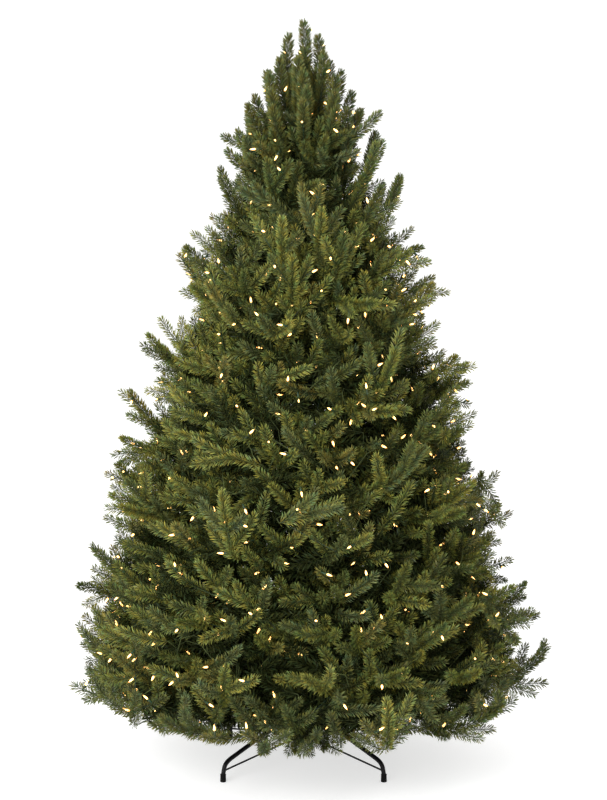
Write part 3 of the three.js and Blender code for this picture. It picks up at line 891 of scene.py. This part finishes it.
def buildNeedles():
    broad, fold = needles["broad"], needles["fold"]
    corners = [(0, 0, 0), (-fold, -0.5, broad), (-fold, 0.5, broad), (0, 0, 1)]
    blade = meshObject("needleBlade", corners, [(0, 1, 3), (0, 3, 2)])
    setValues(blade.data, "tip", "FLOAT", [0, broad, broad, 1])
    tree = needleTree()
    chance = np.random.default_rng(needles["seed"])
    dealt = chance.choice(len(needles["shades"]), len(grown["outer"]), p=needles["weights"])
    # painted shade: sprays that end low at the hem or high near the top get only the darker shades
    paintedShadeChoices, low, high = needles["dark"]
    ends = np.array([path[-1][2] for path in grown["outer"]])
    dealt = np.where((ends < low) | (ends > high), chance.choice(paintedShadeChoices, len(ends)), dealt)
    paintedLampGlow, share = needles["paintedLampGlow"]
    # painted lamp glow: a share of the sprays that carry a bulb get the warmer, browner shade
    for number in bulbs["bearers"]:
        if number < len(dealt) and chance.random() < share:
            dealt[number] = paintedLampGlow
    batches = []
    for k, shade in enumerate(needles["shades"]):
        mine = [path for path, number in zip(grown["outer"], dealt) if number == k]
        batches.append((f"needles_{k + 1}", mine, shade, needles["outer"]))
    bearing = [path[int(len(path) * boughs["bare"]) :] for path in grown["boughs"]]
    # the top's sprays in painted shade
    batches.append(("needles_top", grown["spire"], needles["paintedTopShade"], needles["spire"]))
    # the inner, deep and bough needles in painted shade
    for kind, paths in (("inner", grown["inner"]), ("deep", grown["deep"]), ("bough", bearing)):
        batches.append((f"needles_{kind}", paths, needles["paintedInnerShade"], needles[kind]))
    total = 0
    for k, (name, paths, shade, size) in enumerate(batches):
        source = linesObject(paths, needleValues(paths, size, chance))
        # slit PVC film: matt, with a glint on each fold, and painted shade at each needle's foot and painted
        # light at its tip
        shine = needles["innerShine" if shade == needles["paintedInnerShade"] else "shine"]
        warm, cold = tinted(shade, needles["warm"]), tinted(shade, needles["cold"])
        coat = {"roughness": needles["roughness"], "patch": needles["patch"], "root": needles["paintedRootShade"]}
        film = finish(f"cut PVC film {k + 1}", warm, cold, shine=shine, **coat)
        settings = {
            "Needle": blade,
            "Turn": size.get("turn", needles["turn"]),
            "Width": size["width"],
            "Seed": k * 10,
            "Material": film,
        }
        piece = grownFrom(source, tree, name, settings)
        total += len(piece.data.polygons)
        settle(piece, "foliage", *massNodes)
        print(name, len(paths), "sprays", len(piece.data.polygons), "faces")
    bpy.data.objects.remove(blade)
    print("needles done:", total, "faces")


buildNeedles()


def buildWood():
    # film wound round steel wire: dull and ribbed across, no glint
    ribbed = {"roughness": 0.75, "patch": 0.03, "grain": 0.002, "relief": 0.0008, "shine": 0.2}
    wound = finish("PVC-wound steel wire", "47502A", "31391D", **ribbed)
    kinds = (("boughs", boughs, "bough", limbNodes), ("twigs", twigs, "foliage", massNodes))
    for name, look, slotName, nodes in kinds:
        piece = tubePiece(name, grown[name], look["radii"], look["sides"], wound)
        settle(piece, slotName, *nodes)
        print(name, "done:", len(piece.data.polygons), "faces")


buildWood()


def revolved(profile, sides):  # vertices and faces of a profile turned about +Z, from its lower end up
    vertices, faces, rings = [], [], []
    for radius, z in profile:
        start = len(vertices)
        steps = 1 if radius == 0 else sides
        turns = [tau * k / sides for k in range(steps)]
        vertices += [(radius * cos(a), radius * sin(a), z) for a in turns]
        rings.append(list(range(start, start + steps)))
    for low, high in zip(rings, rings[1:]):
        for k in range(sides):
            a, b = low[k % len(low)], low[(k + 1) % len(low)]
            c, d = high[(k + 1) % len(high)], high[k % len(high)]
            faces.append(tuple(dict.fromkeys((a, b, c, d))))
    if len(rings[0]) > 1:
        faces.append(tuple(reversed(rings[0])))
    if len(rings[-1]) > 1:
        faces.append(tuple(rings[-1]))
    return vertices, faces


def wirePaths(feet, aims, stems):  # down a bulb's spray and up the nearest one not yet strung
    ends = feet - aims * lights["tail"]
    roots = np.array([stem[0] for stem in stems])
    left = set(range(len(feet)))
    here = int(np.argmin(feet[:, 2]))
    left.discard(here)
    paths = []
    while left:
        rest = np.array(sorted(left))
        near = int(rest[np.argmin(norm(roots[rest] - roots[here], axis=1))])
        left.discard(near)
        wire = np.concatenate([[ends[here]], stems[here][::-1], stems[near], [ends[near]]])
        isNear = norm(roots[near] - roots[here]) < lights["wireReach"]
        if isNear and wire[:, 2].min() > lights["wireLowest"]:
            paths.append(wire)
        here = near
    return paths


def buildLights():
    feet, aims, stems = bulbs["feet"], bulbs["aims"], bulbs["stems"]
    tree = scatterTree()
    # clear glass round a hot filament: a body of pale yellow that turns orange towards its tip and foot
    zones = []
    for zone in ("hot", "warm"):
        colour, strength = lights[zone]
        sockets = {"Base Color": lights["tint"], "Roughness": lights["gloss"]}
        sockets |= {"Emission Color": (*colour, 1), "Emission Strength": strength}
        zones.append(newMaterial(f"lit clear glass, {zone}", sockets)[0])
    # moulded polythene holders: green, waxy
    plastic = finish("moulded green polythene", "1F3D22", "18301B", roughness=0.42, patch=0.02, relief=0.0002)
    low, high = lights["body"]
    for name, part, materials in (("bulbs", "glass", zones), ("bulb_holders", "holder", [plastic])):
        shape = smoothed(meshObject("bulbShape", *revolved(lights[part], lights["sides"])), lights["sharp"])
        for material in materials:
            shape.data.materials.append(material)
        for face in shape.data.polygons:
            face.material_index = int(len(materials) > 1 and not low < face.center.z < high)
        cloud = meshObject("bulbPlaces", feet, [])
        setValues(cloud.data, "aim", "FLOAT_VECTOR", aims)
        piece = grownFrom(cloud, tree, name, {"Shape": shape})
        bpy.data.objects.remove(shape)
        settle(piece, "foliage")
    paths = wirePaths(feet, aims, stems)
    # extruded PVC insulation: dark green with a soft sheen
    soft = {"roughness": 0.4, "patch": 0.03, "grain": 0.002, "relief": 0.0002}
    insulation = finish("extruded green PVC insulation", "1D3B2A", "152B1F", **soft)
    settle(tubePiece("light_wires", paths, lights["wireRadii"], lights["wireSides"], insulation), "foliage")
    print("lights done:", len(feet), "bulbs,", len(paths), "wires")


buildLights()


pole = {
    "sections": [("lower", 0.016, 0.75), ("middle", 0.0145, 1.35), ("upper", 0.0125, 1.696)],
    "sides": 40,
    "floor": 0.062,
    "sleeveLength": 0.046,
    "sleeveWall": 0.002,
    "taper": 0.005,
    "lip": 0.0008,  # rounding of a sleeve's mouth
    "collarHeight": 0.024,
    "collarBevel": 0.0022,
    "grooveDepth": 0.0025,
    "groove": (0.35, 0.3),  # shares of the half height at its mouth and at its bottom
    "seat": 0.0003,
}


def collarProfile(tier):  # a flanged ring with a groove in which the boughs hang
    radius = tiers[tier]["collar"]
    half, bevel = pole["collarHeight"] / 2, pole["collarBevel"]
    mouth, bottom = pole["groove"]
    upper = [(radius - pole["grooveDepth"], half * bottom), (radius, half * mouth)]
    upper += [(radius, half - bevel), (radius - bevel, half), (0, half)]
    lower = [(distance, -z) for distance, z in reversed(upper)]
    middle = levelHeight(tier, 0.5, radius)
    return [(distance, middle + z) for distance, z in lower + upper]


def addShape(vertices, faces, shape, offset=(0, 0, 0)):  # a moved copy of a shape, added to a mesh's lists
    more, added = shape
    faces += [tuple(k + len(vertices) for k in face) for face in added]
    vertices += [tuple(np.add(place, offset)) for place in more]


def buildPole():
    # enamelled steel tube: deep green, semi-gloss, with the faint orange peel of sprayed enamel
    sprayed = {"roughness": 0.42, "patch": 0.06, "grain": 0.0016, "relief": 0.00008}
    enamel = finish("green enamelled steel tube", "26391F", "1F3019", **sprayed)
    start, lip = pole["floor"], pole["lip"]
    for name, radius, end in pole["sections"]:
        foot = start + pole["seat"]
        profile = [(0, foot), (radius, foot)]
        if name == "upper":
            profile += [(radius, end - lip), (radius - lip, end), (0, end)]
        else:
            wide, shoulder = radius + pole["sleeveWall"], end - pole["sleeveLength"]
            profile += [(radius, shoulder - pole["taper"]), (wide, shoulder)]
            profile += [(wide, end - lip), (wide - lip, end), (0, end)]
        vertices, faces = revolved(profile, pole["sides"])
        for tier in range(len(tiers)):
            if start < levelHeight(tier, 0.5, 0) < end:
                addShape(vertices, faces, revolved(collarProfile(tier), pole["sides"]))
        solidPiece(f"pole_tube_{name}", (vertices, faces), enamel, "pole", [f"pole_{name}"])
        start = end
    print("pole done")


buildPole()


stand = {
    "legs": 4,
    "turn": radians(45),
    "socket": [  # radius and height, from the underside up, over the rim and down the bore
        (0, 0.054), (0.021, 0.054), (0.022, 0.055), (0.022, 0.188), (0.0245, 0.1905), (0.0245, 0.195),
        (0.0235, 0.196), (0.0183, 0.196), (0.0173, 0.195), (0.0173, 0.062), (0, 0.062),
    ],
    "socketSides": 48,
    "hubFlats": 0.05,
    "hubHeight": 0.024,
    "hubBevel": 0.003,
    "hubSharp": 20,  # degrees, so that its bevels stay crisp
    "legRadii": (0.00675, 0.00675),
    "legSides": 28,
    "legTop": 0.158,
    "neck": 0.014,
    "knee": (0.331, 0.057),
    "kneeBend": 0.026,
    "bendPoints": 9,
    "footRadius": 0.34,
    "legFoot": (0.0043, 0.025),  # heights of a leg's end and of the start of its upright foot
    "braceRadii": (0.0028, 0.0028),
    "braceSides": 16,
    "bracePoints": 14,
    "braceHub": 0.076,
    "braceLeg": 0.034,
    "cap": [  # the same for a rubber cap, with a bead round its mouth
        (0, 0), (0.0072, 0), (0.00846, 0.00054), (0.009, 0.0018), (0.0084, 0.021), (0.009, 0.0215),
        (0.009, 0.0232), (0.0082, 0.024), (0.00795, 0.024), (0.00795, 0.004), (0, 0.004),
    ],
    "capSides": 32,
    "seat": 0.0003,
}


def upright(points, angle):  # points given as distance and height, in the upright plane at an angle
    return np.array([polar(distance, angle, z) for distance, z in points])


def bent(corners, reach, steps):  # a line round the corners, each rounded within a reach and half its sides
    line = [np.array(corners[0])]
    for a, b, c in zip(corners, corners[1:], corners[2:]):
        a, b, c = np.array(a), np.array(b), np.array(c)
        start = b + (a - b) * min(reach / norm(a - b), 0.48)
        end = b + (c - b) * min(reach / norm(c - b), 0.48)
        line += list(bezier((start, b, end), steps))
    return line + [np.array(corners[-1])]


def hubBlocks():  # two bevelled square blocks round the tube, for the legs and for the braces
    half, tall, bevel = stand["hubFlats"] / 2, stand["hubHeight"] / 2, stand["hubBevel"]
    vertices, faces = [], []
    corners = 8  # in each of the four outlines of a block
    for middle in (stand["legTop"], stand["braceHub"]):
        start = len(vertices)
        for z, shrink in ((-tall, bevel), (-tall + bevel, 0), (tall - bevel, 0), (tall, bevel)):
            for k in range(4):
                turn = stand["turn"] + tau * k / 4
                for aside in (-half + bevel, half - bevel):
                    out, across = half - shrink, aside * (1 - shrink / half)
                    x = out * cos(turn) - across * sin(turn)
                    y = out * sin(turn) + across * cos(turn)
                    vertices.append((x, y, middle + z))
        for low in range(start, start + 3 * corners, corners):
            for k in range(corners):
                a, b = low + k, low + (k + 1) % corners
                faces.append((a, b, b + corners, a + corners))
        faces.append(tuple(start + k for k in reversed(range(corners))))
        faces.append(tuple(start + 3 * corners + k for k in range(corners)))
    return vertices, faces


def buildStand():
    # powder coat on steel tube: black, soft gloss, slightly pebbled
    pebbled = {"roughness": 0.42, "patch": 0.05, "grain": 0.0012, "relief": 0.00008, "shine": 0.15}
    coat = finish("black powder-coated steel", "08080A", "050506", **pebbled)
    # moulded rubber: black, dull
    dull = {"roughness": 0.75, "patch": 0.01, "grain": 0.0008, "relief": 0.0001, "shine": 0.1}
    rubber = finish("moulded black rubber", "0C0C0C", "070707", **dull)
    numbers = range(stand["legs"])
    angles = [stand["turn"] + tau * k / stand["legs"] for k in numbers]

    seat, hub, foot = stand["seat"], stand["hubFlats"] / 2, stand["footRadius"]
    end, low = stand["legFoot"]
    corners = [(hub + seat, stand["legTop"]), (hub + stand["neck"], stand["legTop"]), stand["knee"]]
    corners += [(foot, low), (foot, end)]
    line = bent(corners, stand["kneeBend"], stand["bendPoints"])
    legs = [upright(line, angle) for angle in angles]

    kneeAt, kneeZ = stand["knee"]
    share = (stand["braceLeg"] - low) / (kneeZ - low)
    legAt = foot + (kneeAt - foot) * share  # the leg's middle at the brace's height
    ends = [(hub + seat, stand["braceHub"]), (legAt - stand["legRadii"][0] - 3 * seat, stand["braceLeg"])]
    braces = [np.linspace(*upright(ends, angle), stand["bracePoints"]) for angle in angles]
    for name, paths in (("leg", legs), ("brace", braces)):
        piece = tubePiece(f"stand_{name}s", paths, stand[f"{name}Radii"], stand[f"{name}Sides"], coat)
        settle(piece, "stand", *[f"stand_{name}_{k + 1}" for k in numbers])

    solidPiece("stand_tube", revolved(stand["socket"], stand["socketSides"]), coat, "stand", ["stand_socket"])
    solidPiece("stand_hub_blocks", hubBlocks(), coat, "stand", ["stand_socket"], stand["hubSharp"])
    vertices, faces = [], []
    for angle in angles:
        addShape(vertices, faces, revolved(stand["cap"], stand["capSides"]), polar(foot, angle, 0))
    solidPiece("stand_caps", (vertices, faces), rubber, "foot", [f"stand_foot_{k + 1}" for k in numbers])
    print("stand done")


buildStand()
